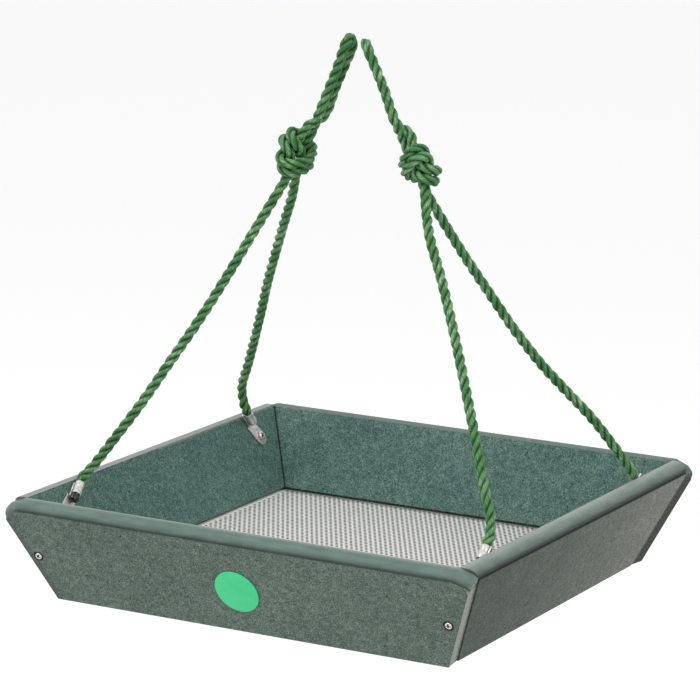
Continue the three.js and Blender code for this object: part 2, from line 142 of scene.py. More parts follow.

# %% [markdown]
# Each rope is one length, so it is one route: up a leg, through the knot, round the loop,
# back through the knot and down the other leg. The legs and the loop are listed points.
# They are the solids' own points, so each rope lies where its solids are.

# %% The ropes' routes
ROPE_DIAMETER = 6.35 * MM
routes = {
    "left": {
        "feet": ("front_left", "back_left"),
        "legs": (
            [(-139.3, -91.9, 65.1), (-136, -86.2, 71), (-126.4, -82.3, 84.9), (-111.1, -70.8, 110.3),
             (-98.2, -58.4, 135.5), (-85.3, -46.1, 160.7), (-73.8, -34.5, 185.6), (-63, -23.4, 210.6),
             (-53.5, -13.5, 233), (-48.3, -8, 246.5)],
            [(-138.4, 98.4, 70.9), (-137.4, 92.2, 85.6), (-128, 83.9, 103.8), (-116, 72.1, 125.5),
             (-104.3, 60.2, 147), (-93.2, 48.5, 168.1), (-81.4, 37.4, 189), (-69.6, 26.4, 209.4),
             (-56.8, 14.6, 230.9), (-47.3, 4, 245)],
        ),
        "loop": [(-37.7, -4.5, 264.5), (-29.7, -3.1, 283), (-21.7, -2.9, 302), (-15, -3.2, 318),
                 (-12, -3.9, 326), (-10.2, 0, 332.4), (-10.9, 4.6, 326), (-14.3, 4.1, 317.5),
                 (-21.4, 3.9, 301.5), (-29.4, 3.7, 282.5), (-37.3, 2.7, 264)],
        "knot": (-44.5, -2.5, 260),
        "tied": {"roll": 90, "swap": False, "thick": 6.7, "tilt": 0},
    },
    "right": {
        "feet": ("front_right", "back_right"),
        "legs": (
            [(136.1, -93.3, 67.4), (133.1, -86.2, 76.7), (124.7, -79.1, 92.1), (114.6, -69.5, 113.4),
             (104, -60, 134.8), (93.1, -50.4, 156.5), (81.8, -40.9, 178.3), (69.9, -31.5, 200.3),
             (57.1, -22.5, 222.5), (46.5, -15, 243), (42.7, -11.5, 252.5)],
            [(140, 92, 66.8), (131.9, 84.1, 82.4), (119.7, 76, 100.9), (107.4, 64.1, 118.8),
             (95.5, 52.7, 136.3), (83, 40.3, 158.3), (71.9, 28.9, 180.6), (61.1, 17.8, 202.8),
             (51, 7.3, 225.1), (45.4, 1.4, 242), (44, 0, 249.5)],
        ),
        "loop": [(33.6, -10.2, 267.5), (25.4, -7.8, 284.8), (16.1, -5.7, 303.5), (8.1, -4.3, 318.5),
                 (4.8, -4.7, 324.5), (0.2, 0, 329.6), (0.8, 4, 323), (4.9, 2.2, 316.5),
                 (13.6, 0.2, 301.5), (23, -1.8, 282.8), (31.2, -3.7, 266.5)],
        "knot": (40.5, -5, 260.5),
        "tied": {"roll": 60, "swap": True, "thick": 6.3, "tilt": 8},
    },
}
for route in routes.values():
    route["legs"] = [np.array(leg) * MM for leg in route["legs"]]
    route["loop"] = np.array(route["loop"]) * MM
    route["knot"] = np.array(route["knot"]) * MM
print("ropes", list(routes))

# %% [markdown]
# The knot is an overhand knot in the doubled rope. A tight knot is hard to draw by hand, so it is
# tied: two loose strands are laid side by side in the shape of a slack overhand knot, and a small
# rope simulation pulls their ends until they jam.
# The slack knot is a curve of polynomials whose height changes where the strands cross.


# %% A slack overhand knot in two strands
def unit(vectors):
    return vectors / np.linalg.norm(vectors, axis=-1, keepdims=True)


def evenly(points, spacing):
    """The same line with its points a fixed spacing apart."""
    run = np.r_[0, np.cumsum(np.linalg.norm(np.diff(points, axis=0), axis=1))]
    count = max(2, int(round(run[-1] / spacing)) + 1)
    places = np.linspace(0, run[-1], count)
    return np.stack([np.interp(places, run, points[:, k]) for k in range(3)], 1)


CROSSING_T, CROSSING_HEIGHT, ROUNDED = [0, 0.518, 1.15, 1.732, 1.95, 2.1], [0, 4.5, 0, -7, 9, 9], 30


def slack_strands(scale, apart):
    t = np.linspace(-CROSSING_T[-1], CROSSING_T[-1], 900)
    height = np.sign(t) * np.interp(np.abs(t), CROSSING_T, CROSSING_HEIGHT)
    window = np.hanning(2 * ROUNDED + 1)
    padded = np.r_[np.full(ROUNDED, height[0]), height, np.full(ROUNDED, height[-1])]
    height = np.convolve(padded, window / window.sum(), "valid")
    middle = np.stack([(t**3 - 3 * t) * scale, (t**4 - 4 * t**2 + 2) * scale, -height], 1)
    heading = unit(np.gradient(middle, axis=0))
    beside = unit(np.stack([-heading[:, 1], heading[:, 0], 0 * heading[:, 0]], 1))
    return middle + beside * apart, middle - beside * apart


# %% [markdown]
# The simulation works in millimetres. A strand is a chain of beads: neighbours keep their spacing,
# beads three apart keep their distance so that the rope can't fold sharply, and beads of different
# turns push each other away when they are nearer than the rope's thickness.
# Each end is drawn outwards until its part of the rope is taut.


# %% Pulling the knot tight
BEAD = 3.0
LEG_AIM, LOOP_AIMS = 5, (3, 7)
SWEEPS, LOOK_EVERY, LOOK_PAST, DAMPING = 14, 8, 7, 0.5
FASTEST, TAUT, TOO_TAUT, NEIGHBOURS = 0.5, 0.04, 0.06, 1.6
SPRING_SHARE, PUSH_SHARE, PUSH_GAIN = 0.3, 0.5, 1.6


def lay_out(route, tied, scale=10.0, apart=3.3, reach=75.0):
    """The slack knot laid between the legs and the loop, and the four ways its ends are pulled."""
    centre = route["knot"] / MM
    low = [unit(leg[LEG_AIM] / MM - centre) for leg in route["legs"]]
    high = [unit(route["loop"][k] / MM - centre) for k in LOOP_AIMS]
    lift = unit(np.mean(high, 0) - np.mean(low, 0))
    side = (route["legs"][1][LEG_AIM] - route["legs"][0][LEG_AIM]) / MM
    side = unit(side - side @ lift * lift)
    front = np.cross(lift, side)
    roll = math.radians(tied["roll"])
    turned = []
    for strand in slack_strands(scale, apart):
        across = strand[:, 1] * math.cos(roll) - strand[:, 2] * math.sin(roll)
        deep = strand[:, 1] * math.sin(roll) + strand[:, 2] * math.cos(roll)
        placed = np.outer(strand[:, 0], lift) + np.outer(across, side) + np.outer(deep, front)
        turned.append(centre + placed)
    if tied["swap"]:
        turned.reverse()
    chains = []
    for start, strand, end in zip(low, turned, high):
        chains.append(evenly(np.vstack([centre + start * reach, strand, centre + end * reach]), BEAD))
    return chains, [low[0], high[0], low[1], high[1]]


def pull_tight(chains, ways, thick, stiff=0.8, steps=1300, pull=0.7):
    first = len(chains[0])
    beads = np.vstack(chains)
    count = len(beads)
    strand = np.r_[np.zeros(first, int), np.ones(count - first, int)]
    order = np.r_[np.arange(first), np.arange(count - first)]
    one, two = np.triu_indices(count, 1)
    near_by = np.abs(order[one] - order[two]) < math.ceil(NEIGHBOURS * thick / BEAD)
    near_by &= strand[one] == strand[two]
    one, two = one[~near_by], two[~near_by]
    links = np.flatnonzero(strand[:-1] == strand[1:])
    link_sets = (links[order[links] % 2 == 0], links[order[links] % 2 == 1])
    springs = np.flatnonzero(strand[:-3] == strand[3:])
    least = 3 * BEAD * stiff
    ends = [0, first - 1, first, count - 1]
    free = np.ones(count)
    free[ends] = 0
    drift = np.zeros_like(beads)
    taut = np.zeros(4)

    def push(a, b, shift, share):
        for axis in range(3):
            move = np.bincount(a, shift[:, axis], count) - np.bincount(b, shift[:, axis], count)
            beads[:, axis] += move * share

    for step in range(steps):
        if step % LOOK_EVERY == 0:
            apart = beads[two] - beads[one]
            close = (apart * apart).sum(1) < (thick + LOOK_PAST) ** 2
            near_one, near_two = one[close], two[close]
        before = beads.copy()
        beads = beads + np.clip(drift, -FASTEST, FASTEST)
        for k, bead in enumerate(ends):
            ease = 0.5 if taut[k] > TOO_TAUT else 0
            beads[bead] = before[bead] + ways[k] * (pull if taut[k] < TAUT else -pull * ease)
        for _ in range(SWEEPS):
            for link in link_sets:
                apart = beads[link + 1] - beads[link]
                long = np.linalg.norm(apart, axis=1)
                shift = apart * ((long - BEAD) / long)[:, None]
                a, b = free[link], free[link + 1]
                both = np.maximum(a + b, 1)
                beads[link] += shift * (a / both)[:, None]
                beads[link + 1] -= shift * (b / both)[:, None]
            apart = beads[springs + 3] - beads[springs]
            long = np.linalg.norm(apart, axis=1)
            sharp = long < least
            if sharp.any():
                shift = apart[sharp] * ((long[sharp] - least) / long[sharp])[:, None] * SPRING_SHARE
                push(springs[sharp], springs[sharp] + 3, shift, free)
            apart = beads[near_two] - beads[near_one]
            square = (apart * apart).sum(1)
            touch = square < thick * thick
            if touch.any():
                long = np.sqrt(square[touch])
                shift = apart[touch] * ((long - thick) / long)[:, None] * PUSH_SHARE
                a, b = near_one[touch], near_two[touch]
                hits = np.bincount(a, minlength=count) + np.bincount(b, minlength=count)
                push(a, b, shift, free * PUSH_GAIN / np.maximum(hits, 1))
        drift = (beads - before) * DAMPING
        for k, bead in enumerate(ends):
            span = beads[bead : bead + 7] if k in (0, 2) else beads[bead - 6 : bead + 1]
            taut[k] = np.linalg.norm(np.diff(span, axis=0), axis=1).mean() / BEAD - 1
    return beads[:first], beads[first:]


# %% [markdown]
# A knot drifts a little while it is pulled, so the tied knot is moved back as one piece
# until its bulk, the part where the rope runs across the pull, sits where the picture shows it.
# The right one also tips over a little.


# %% Tying both knots
VIEW = np.array([camera_right, camera_down, camera_ahead])
KNOT_PLACES = {"left": (-53.5, -198.0), "right": (70.0, -185.0)}
ALONG_PULL = 0.72


def bulk_of(strands, lift):
    kept = []
    for strand in strands:
        across = np.flatnonzero(unit(np.gradient(strand, axis=0)) @ lift < ALONG_PULL)
        kept.append(strand[across.min() : across.max() + 1])
    return np.vstack(kept)


def set_in_place(strands, centre, wanted, tilt):
    """The knot moved until its bulk shows where wanted, in pixels right of and below the middle."""
    tip_over = np.array(Matrix.Rotation(math.radians(tilt), 3, camera_ahead))
    strands = [(strand - centre) @ tip_over.T + centre for strand in strands]
    lift = unit(np.mean([strand[-1] - strand[0] for strand in strands], 0))
    scale = VIEW[2] @ (centre - np.array(camera_place)) / FOCAL_PIXELS
    for _ in range(3):
        bulk = bulk_of(strands, lift)
        seen = (bulk - np.array(camera_place)) @ VIEW.T
        shown = FOCAL_PIXELS * seen[:, :2] / seen[:, 2:]
        right, down = (wanted - (shown.min(0) + shown.max(0)) / 2) * scale
        deep = VIEW[2] @ (bulk.mean(0) - centre)
        strands = [strand + np.array([right, down, -deep]) @ VIEW for strand in strands]
    return strands


for name, route in routes.items():
    chains, ways = lay_out(route, route["tied"])
    strands = [strand * MM for strand in pull_tight(chains, ways, route["tied"]["thick"])]
    route["strands"] = set_in_place(strands, route["knot"], KNOT_PLACES[name], route["tied"]["tilt"])
    print(name, "knot tied,", sum(len(s) for s in route["strands"]), "beads")

# %% [markdown]
# Now each rope's centreline. The listed points near the knot give way to the knot's own beads,
# and a centripetal Catmull-Rom curve passes through them all. That kind doesn't overshoot where
# points are unevenly spaced, as they are where the legs meet the knot.

# %% The ropes' centrelines
RING_STEP = 0.9 * MM
KNOT_KEPT, LEG_KEPT, LOOP_KEPT = 21 * MM, 31 * MM, 25 * MM


def flowing(points):
    """A centripetal Catmull-Rom curve through the points."""
    ends = [2 * points[0] - points[1], *points, 2 * points[-1] - points[-2]]
    share = np.linspace(0, 1, 16, endpoint=False)[:, None]
    curve = []
    for layer in zip(ends, ends[1:], ends[2:], ends[3:]):
        at = np.cumsum([0, *(np.linalg.norm(b - a) ** 0.5 for a, b in zip(layer, layer[1:]))])
        t = at[1] + (at[2] - at[1]) * share
        for spans in (((0, 1), (1, 2), (2, 3)), ((0, 2), (1, 3)), ((1, 2),)):
            layer = [
                ((at[b] - t) * p + (t - at[a]) * q) / (at[b] - at[a])
                for (a, b), p, q in zip(spans, layer, layer[1:])
            ]
        curve.append(layer[0])
    return np.vstack([*curve, points[-1][None]])


def smoothed(line, times):
    for _ in range(times):
        line[1:-1] = (line[:-2] + 2 * line[1:-1] + line[2:]) / 4
    return line


def beads_within(points, centre, least, most=math.inf):
    return [p for p in points if least < np.linalg.norm(p - centre) < most]


def foot(lug):
    mouth = np.array(lug["mouth"])
    way = np.array(lug["frame"].to_3x3() @ lug["way"])
    low = BARREL_LENGTH + lug["tail"] * MM
    return [mouth - way * low, mouth - way * BARREL_LENGTH / 2, mouth]


for name, route in routes.items():
    knot = route["knot"]
    front, back = (
        [*foot(lugs[place]), *beads_within(leg, knot, LEG_KEPT)]
        for place, leg in zip(route["feet"], route["legs"])
    )
    up, down = (beads_within(strand, knot, -1, KNOT_KEPT) for strand in route["strands"])
    points = [*front, *up, *beads_within(route["loop"], knot, LOOP_KEPT), *down[::-1], *back[::-1]]
    line = smoothed(evenly(flowing(np.array(points)), RING_STEP / 2), 24)
    route["line"] = evenly(line, RING_STEP)
    route["length"] = np.linalg.norm(np.diff(route["line"], axis=0), axis=1).sum()
    print(name, "rope", round(route["length"] / MM), "mm,", len(route["line"]), "rings")

# %% [markdown]
# The rope is laid from three strands. Its section is three round strands pressed together,
# and the section turns as it goes along, once every lay length. Building the tube so that its
# lines of vertices run along the strands keeps the grooves crisp with few faces.
# Where the rope is crimped in a barrel it is squeezed thinner.

# %% The section of a laid rope
LAY_LENGTH = 20.5 * MM
STRAND_CENTRE, STRAND_RADIUS = 0.48, 0.52
STEPS_PER_STRAND = 10


def strand_section():
    """Angle, radius and depth of groove round the rope, in shares of its radius."""
    groove = math.radians(60)
    edge = STRAND_CENTRE * math.cos(groove) + math.sqrt(
        STRAND_RADIUS**2 - (STRAND_CENTRE * math.sin(groove)) ** 2
    )
    widest = math.atan2(edge * math.sin(groove), edge * math.cos(groove) - STRAND_CENTRE)
    turn = np.linspace(-widest, widest, STEPS_PER_STRAND, endpoint=False)
    x = STRAND_CENTRE + STRAND_RADIUS * np.cos(turn)
    y = STRAND_RADIUS * np.sin(turn)
    angle = np.concatenate([np.arctan2(y, x) + k * math.tau / 3 for k in range(3)])
    radius = np.tile(np.hypot(x, y), 3)
    return angle, radius, (radius - edge) / (1 - edge)


def carried_frames(line):
    """Two directions across the line at each point, carried along it without twisting."""
    heading = unit(np.gradient(line, axis=0))
    across = np.zeros_like(line)
    across[0] = unit(np.cross(heading[0], (0, 1, 0)))
    for k in range(1, len(line)):
        across[k] = unit(across[k - 1] - across[k - 1] @ heading[k] * heading[k])
    return across, np.cross(heading, across)


section_angle, section_radius, section_height = strand_section()
print("section", len(section_angle), "points, groove", round(section_radius.min(), 3))


# %% Ropes as meshes
CRIMPED, CRIMP_END = 0.60, 1.6 * MM
SWELLING, SWOLLEN_AT, SWOLLEN_REACH = 0.10, 4.5 * MM, 3.5 * MM


def squeeze(run, held):
    """The rope's thickness along it, thinner inside each barrel and swollen just above it."""
    past_barrel = np.minimum(run - held[0], run[-1] - run - held[1])
    swollen = SWELLING * np.exp(-(((past_barrel - SWOLLEN_AT) / SWOLLEN_REACH) ** 2))
    return CRIMPED + (1 - CRIMPED + swollen) * np.clip(past_barrel / CRIMP_END, 0, 1)


def rope_mesh(name, line, held):
    run = np.r_[0, np.cumsum(np.linalg.norm(np.diff(line, axis=0), axis=1))]
    across, over = carried_frames(line)
    turn = section_angle[None] + math.tau * run[:, None] / LAY_LENGTH
    thick = section_radius[None] * squeeze(run, held)[:, None] * ROPE_DIAMETER / 2
    rings = line[:, None] + thick[..., None] * (
        np.cos(turn)[..., None] * across[:, None] + np.sin(turn)[..., None] * over[:, None]
    )
    sides, count = len(section_angle), len(line)
    index = np.arange(count * sides).reshape(count, sides)
    after = np.roll(index, -1, axis=1)
    quads = np.stack([index[:-1], index[1:], after[1:], after[:-1]], -1).reshape(-1, 4)
    middles = [count * sides, count * sides + 1]
    caps = [(middles[0], a, b) for a, b in zip(index[0], after[0])]
    caps += [(middles[1], b, a) for a, b in zip(index[-1], after[-1])]
    mesh = bpy.data.meshes.new(name)
    vertices = np.vstack([rings.reshape(-1, 3), line[:1], line[-1:]])
    mesh.from_pydata(vertices.tolist(), [], quads.tolist() + [tuple(map(int, c)) for c in caps])
    mesh.shade_smooth()
    return mesh, run, turn


def store(mesh, name, values):
    mesh.attributes.new(name, "FLOAT", "POINT").data.foreach_set("value", values.astype(np.float32))


def add_piece(name, mesh):
    piece = bpy.data.objects.new(name, mesh)
    bpy.context.scene.collection.objects.link(piece)
    return piece


ropes = {}
for name, route in routes.items():
    held = [BARREL_LENGTH + lugs[place]["tail"] * MM for place in route["feet"]]
    mesh, run, turn = rope_mesh("rope_" + name, route["line"], held)
    ends = [0.0, 0.0]
    store(mesh, "height", np.r_[np.tile(section_height, len(run)), ends])
    store(mesh, "along", np.r_[np.repeat(run / ROPE_DIAMETER, len(section_angle)), ends])
    store(mesh, "around", np.r_[turn.reshape(-1) / math.tau, ends])
    ropes[name] = add_piece("rope_" + name, mesh)
    print(name, "rope mesh", len(mesh.polygons), "faces")

# %% [markdown]
# A rope bends over its two lugs. It is drawn taut here, with both of its ends in the object,
# and it takes the place of the rope's solids, which are hidden.

# %% Ropes in place of their solids
BEND_BELOW, BEND_ABOVE = 3 * MM, 4.3 * MM
for name, rope in ropes.items():
    route = routes[name]
    front, back = (Vector(leg[0]) for leg in route["legs"])
    way = Vector((1, 0, 0)).cross(back - front).normalized()
    level = front.dot(way)
    start, end = way * (level - BEND_BELOW), way * (level + BEND_ABOVE)
    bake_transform(rope)
    solids = ["rope_foot_" + place for place in route["feet"]]
    solids += [f"rope_{part}_{name}" for part in ("leg_front", "leg_back", "loop", "knot")]
    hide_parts(*solids)
    print(name, "rope replaces", solids)

# %% [markdown]
# The finishes are built from nodes. Colours are written as they look in daylight, 0 to 255,
# and turned into the linear values that Blender works in.


# %% Helpers for finishes
def ink(red, green, blue):
    linear = [((v / 255 + 0.055) / 1.055) ** 2.4 if v > 10 else v / 255 / 12.92 for v in (red, green, blue)]
    return (*linear, 1.0)


def feed(tree, node, inputs):
    """Links each socket to the node's input of that name, and writes each plain value into it."""
    for key, value in inputs.items():
        if isinstance(value, bpy.types.NodeSocket):
            tree.links.new(value, node.inputs[key])
        else:
            node.inputs[key].default_value = value


class Finish:
    """A material and short ways to add its nodes."""

    def __init__(self, name, roughness, metallic=0.0):
        self.material = bpy.data.materials.new(name)
        self.material.use_nodes = True
        self.tree = self.material.node_tree
        self.set("Roughness", roughness)
        self.set("Metallic", metallic)

    def set(self, name, value):
        feed(self.tree, self.tree.nodes["Principled BSDF"], {name: value})

    def add(self, kind, inputs=None, **settings):
        node = self.tree.nodes.new("ShaderNode" + kind)
        for key, value in settings.items():
            setattr(node, key, value)
        feed(self.tree, node, inputs or {})
        return node

    def place(self):
        return self.add("TexCoord").outputs["Object"]

    def stored(self, name):
        """A value that the mesh carries at each of its points."""
        return self.add("Attribute", attribute_name=name).outputs["Fac"]

    def noise(self, scale, vector=None, detail=2.0, rough=0.5):
        inputs = {"Vector": vector or self.place(), "Scale": scale, "Detail": detail, "Roughness": rough}
        return self.add("TexNoise", inputs).outputs["Fac"]

    def stepped(self, value, stops):
        """A colour ramp through linear colours."""
        node = self.add("ValToRGB", {"Fac": value})
        steps = node.color_ramp.elements
        while len(steps) < len(stops):
            steps.new(0.5)
        for step, (at, *colour) in zip(steps, stops):
            step.position, step.color = at, (*colour, 1)
        return node.outputs["Color"]

    def ramp(self, value, *stops):
        """A colour ramp through colours as they look in daylight."""
        return self.stepped(value, [(at, *ink(*colour)[:3]) for at, *colour in stops])

    def greys(self, value, *stops):
        return self.stepped(value, [(at, grey, grey, grey) for at, grey in stops])

    def span(self, value, low, high):
        """0 where the value is low, 1 where it is high, and even between."""
        return self.add("MapRange", {"Value": value, "From Min": low, "From Max": high}).outputs[0]

    def math(self, operation, *values, clamp=False):
        return self.add("Math", dict(enumerate(values)), operation=operation, use_clamp=clamp).outputs[0]

    def times(self, product, *others):
        for value in others:
            product = self.math("MULTIPLY", product, value)
        return product

    def rest(self, share):
        return self.math("SUBTRACT", 1.0, share)

    def mix(self, share, first, second, blend="MIX"):
        inputs = {0: share, 6: first, 7: second}
        return self.add("Mix", inputs, data_type="RGBA", blend_type=blend).outputs[2]

    def tint(self, colour, share, strength, *over):
        """The colour, with another over it where the share is high."""
        return self.mix(self.times(share, strength), colour, ink(*over))

    def bump(self, height, depth):
        relief = self.add("Bump", {"Height": height, "Distance": depth, "Strength": 1.0})
        self.set("Normal", relief.outputs["Normal"])


def dress(piece, finish):
    piece.data.materials.clear()
    piece.data.materials.append(finish.material)


print("finish helpers ready")

# %% [markdown]
# The rope is bright green fibre with a silky shine. Fine yarns run almost straight along it,
# because strands are twisted one way and laid the other. The grooves between strands are painted dark, as
# painted shade.

# %% Rope finish
YARNS_ROUND = 26.0
twine = Finish("green_twine", roughness=0.5)
yarn_place = {"X": twine.times(twine.stored("around"), YARNS_ROUND), "Y": twine.stored("along")}
yarn_place = twine.add("CombineXYZ", yarn_place).outputs[0]
yarns = twine.noise(1.6, vector=yarn_place, detail=3.0, rough=0.6)
shade = twine.math("ADD", twine.times(yarns, 0.62), twine.times(twine.noise(90.0), 0.38))
lit_green = twine.ramp(shade, (0.30, 36, 98, 42), (0.50, 70, 138, 72), (0.66, 176, 220, 168))
# The grooves' colour is the lit green darkened, as painted shade.
groove_painted_shade = twine.mix(0.92, lit_green, ink(4, 30, 10))
crest_lit_share = twine.greys(twine.stored("height"), (0.0, 0.0), (0.35, 0.3), (0.85, 1.0))
twine.set("Base Color", twine.mix(crest_lit_share, groove_painted_shade, lit_green))
twine.bump(yarns, 0.35 * MM)
twine.set("Specular IOR Level", 0.35)
twine.set("Sheen Weight", 0.12)
twine.set("Sheen Roughness", 0.4)
for rope in ropes.values():
    dress(rope, twine)
print("twine on", len(ropes), "ropes")

# %% [markdown]
# The floor is perforated sheet: small round holes in staggered rows along the front board.
# Thousands of booleans would be slow, so the sheet is laid out as small cells, each a rectangle with
# a round hole in its middle. Each row is half a cell out of step with the next one.

# %% The perforated floor
HOLE_RADIUS, HOLE_PITCH, HOLE_SIDES = 1.0 * MM, 3.5 * MM, 12
ROW_PITCH = HOLE_PITCH * math.sin(math.radians(60))
HALF_STEP, HALF_ROW, LEAST_EDGE = HOLE_PITCH / 2, ROW_PITCH / 2, 2 * MM
sheet_low, sheet_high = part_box("screen_floor")
half_x, half_y, sheet_top = sheet_high
rows_each_side = int((half_y - HALF_ROW - LEAST_EDGE) / ROW_PITCH)
holes_in_row = int((half_x - LEAST_EDGE) * 2 / HOLE_PITCH)

sheet = bmesh.new()
corners = {}


def corner(x, y):
    key = (round(x * 1e6), round(y * 1e6))
    if key not in corners:
        corners[key] = sheet.verts.new((x, y, sheet_top))
    return corners[key]


def plain_cells(marks, y0, y1):
    """Rectangles from each mark along X to the next one."""
    for x0, x1 in zip(marks, marks[1:]):
        sheet.faces.new([corner(x0, y0), corner(x1, y0), corner(x1, y1), corner(x0, y1)])


def pierced_cell(x, y):
    """A rectangle with a round hole: six outer corners, twelve round the hole."""
    edge = [(1, 1), (0, 1), (-1, 1), (-1, -1), (0, -1), (1, -1)]
    outer = [corner(x + a * HALF_STEP, y + b * HALF_ROW) for a, b in edge]
    hole = []
    for k in range(HOLE_SIDES):
        turn = math.tau * (k + 1) / HOLE_SIDES
        rim_point = (x + HOLE_RADIUS * math.cos(turn), y + HOLE_RADIUS * math.sin(turn), sheet_top)
        hole.append(sheet.verts.new(rim_point))
    for k in range(6):
        a, b, c = (hole[(2 * k + n) % HOLE_SIDES] for n in range(3))
        first, second = outer[k], outer[(k + 1) % 6]
        for face in ([first, b, a], [first, second, b], [second, c, b]):
            sheet.faces.new(face)


pierced = 0
for j in range(-rows_each_side, rows_each_side + 1):
    y = j * ROW_PITCH
    in_row = holes_in_row - j % 2
    row_end = in_row * HALF_STEP
    for i in range(in_row):
        pierced_cell((i + 0.5) * HOLE_PITCH - row_end, y)
    pierced += in_row
    marks = sorted({row_end, holes_in_row * HALF_STEP, half_x})
    for side_marks in (marks, [-x for x in marks[::-1]]):
        plain_cells(side_marks, y - HALF_ROW, y + HALF_ROW)

last_row = (rows_each_side + 0.5) * ROW_PITCH
marks = [-half_x, *[k * HALF_STEP for k in range(-holes_in_row, holes_in_row + 1)], half_x]
plain_cells(marks, last_row, half_y)
plain_cells(marks, -half_y, -last_row)

screen_mesh = bpy.data.meshes.new("perforated_floor")
sheet.to_mesh(screen_mesh)
sheet.free()
screen = add_piece("perforated_floor", screen_mesh)
thicken = screen.modifiers.new("sheet thickness", "SOLIDIFY")
thicken.thickness = sheet_top - sheet_low.z
thicken.offset = -1
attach(screen, "tray")
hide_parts("screen_floor")
print("holes", pierced, "faces", len(screen_mesh.polygons))

# %% [markdown]
# The sheet's face is pale, and the cut walls of its holes are painted near-black, as painted shade inside
# the holes.
# The camera looks along the holes at a low angle, so it sees those walls and not the ground below:
# that is what draws the dark stripes across the real floor. The face's own direction tells the two
# apart. The sheet is darker along the back board, which shades it.

# %% Screen finish
powder = Finish("pale_powder_coat", roughness=0.45)
coat = powder.ramp(powder.noise(260.0, detail=3.0), (0.35, 243, 241, 237), (0.65, 252, 251, 248))
facing = powder.add("SeparateXYZ", {0: powder.add("NewGeometry").outputs["Normal"]}).outputs["Z"]
level_face = powder.math("GREATER_THAN", powder.math("ABSOLUTE", facing), 0.7)
across = powder.add("SeparateXYZ", {0: powder.place()}).outputs["Y"]
near_back = powder.span(across, half_y - 9 * MM, half_y - 1 * MM)
coat = powder.tint(coat, near_back, 0.85, 52, 56, 52)
# Painted shade: the hole walls, which face neither up nor down, get a near-black colour.
powder.set("Base Color", powder.mix(level_face, ink(40, 38, 36), coat))
powder.bump(powder.noise(1800.0), 0.05 * MM)
dress(screen, powder)
print("screen coated")

# %% [markdown]
# The boards are recycled plastic: a dull skin full of tiny flecks, and a smoother, paler rim that a
# cutter has rounded over. One finish does both. It works out how far each place is outside the
# boards' inner faces and above the rim's line, which falls with the clipped corners.

# %% Where each part of a board is
RIM_DROP, FACE_EDGE, ACROSS_BOARD = 6 * MM, 0.25 * MM, BOARD / math.cos(FLARE)
CLIP_START = inner_face(TRAY_HEIGHT, SIDE_SETBACK)
CLIP_RUN, CLIP_FIRST_SLOPE, CLIP_SECOND_SLOPE = 8 * MM, 0.35, 0.9
AT_BOTTOM = inner_face(0, SIDE_SETBACK), inner_face(0, 0), HALF_BOTTOM

skin = Finish("recycled_plastic", roughness=0.6)
skin.set("Specular IOR Level", 0.2)
place = skin.place()
position = skin.add("SeparateXYZ", {0: place}).outputs
height = position["Z"]
far_x, far_y = (skin.math("ABSOLUTE", position[axis]) for axis in "XY")
lean_out = skin.times(height, math.tan(FLARE))
past_side, past_end, past_end_face = (
    skin.math("SUBTRACT", far, skin.math("ADD", lean_out, at_bottom))
    for far, at_bottom in zip((far_x, far_y, far_x), AT_BOTTOM)
)
outward = skin.math("MAXIMUM", past_side, past_end)
outside = skin.math("GREATER_THAN", outward, FACE_EDGE)
on_side_board = skin.math("LESS_THAN", past_end, 0.0)
behind = skin.math("GREATER_THAN", position["Y"], 0.0)
to_the_left = skin.math("LESS_THAN", position["X"], 0.0)
inside, on_long_board, in_front = (skin.rest(mask) for mask in (outside, on_side_board, behind))

beyond = skin.math("MAXIMUM", skin.math("SUBTRACT", far_x, CLIP_START), 0.0)
near_part = skin.times(skin.math("MINIMUM", beyond, CLIP_RUN), CLIP_FIRST_SLOPE)
far_part = skin.math("MAXIMUM", skin.math("SUBTRACT", beyond, CLIP_RUN), 0.0)
fall = skin.math("ADD", near_part, skin.times(far_part, CLIP_SECOND_SLOPE))
over_rim = skin.math("SUBTRACT", height, TRAY_HEIGHT - RIM_DROP)
over_rim = skin.math("ADD", over_rim, skin.times(fall, on_long_board))
rim = skin.times(skin.span(over_rim, -0.2 * MM, 0.05 * MM), outside)
print("board places found")

# %% [markdown]
# The skin's flecks are noise at about a millimetre, with broader mottling under them. The inner
# faces are a little greener than the outer ones. The side boards are a little greyer, as painted sheen, and
# painted darker towards the front and lighter towards the back, as painted light. Pits are darker still.

# %% The boards' skin
SKINS = (
    ((0.34, 64, 82, 73), (0.50, 101, 118, 108), (0.60, 134, 149, 138), (0.74, 166, 178, 167)),
    ((0.36, 46, 76, 70), (0.50, 87, 118, 111), (0.60, 121, 150, 140), (0.72, 162, 186, 174)),
    ((0.34, 62, 70, 63), (0.50, 96, 105, 97), (0.62, 130, 137, 128), (0.75, 156, 162, 152)),
)
SIDE_PAINTED_LIGHT = ((0.0, 0.56, 0.59, 0.57), (0.3, 0.76, 0.78, 0.77), (0.6, 1.02, 1.0, 1.0), (1.0, 1.72, 1.56, 1.60))
SIDE_PAINTED_LIGHT_REACH = 140 * MM
tone = skin.times(skin.noise(1150.0, detail=2.5, rough=0.65), 0.70)
for scale, share in ((260.0, 0.20), (26.0, 0.10)):
    tone = skin.math("ADD", tone, skin.times(skin.noise(scale), share))
outer_skin, inner_skin, side_skin = (skin.ramp(tone, *stops) for stops in SKINS)
# Painted light: the side boards' colour is scaled from dark at the front to light at the back.
side_painted_light = skin.stepped(skin.span(position["Y"], -SIDE_PAINTED_LIGHT_REACH, SIDE_PAINTED_LIGHT_REACH), SIDE_PAINTED_LIGHT)
side_skin = skin.mix(1.0, side_skin, side_painted_light, blend="MULTIPLY")
# Painted shadow: a dark band on the side boards' faces just under the rim's foot.
side_skin = skin.tint(side_skin, skin.span(over_rim, -1.3 * MM, -0.3 * MM), 0.75, 28, 36, 32)
speckled = skin.mix(outside, inner_skin, skin.mix(on_side_board, outer_skin, side_skin))
pits = skin.span(skin.noise(420.0, detail=1.0), 0.68, 0.74)
speckled = skin.tint(speckled, pits, 0.55, 38, 50, 45)
print("skin colours ready")
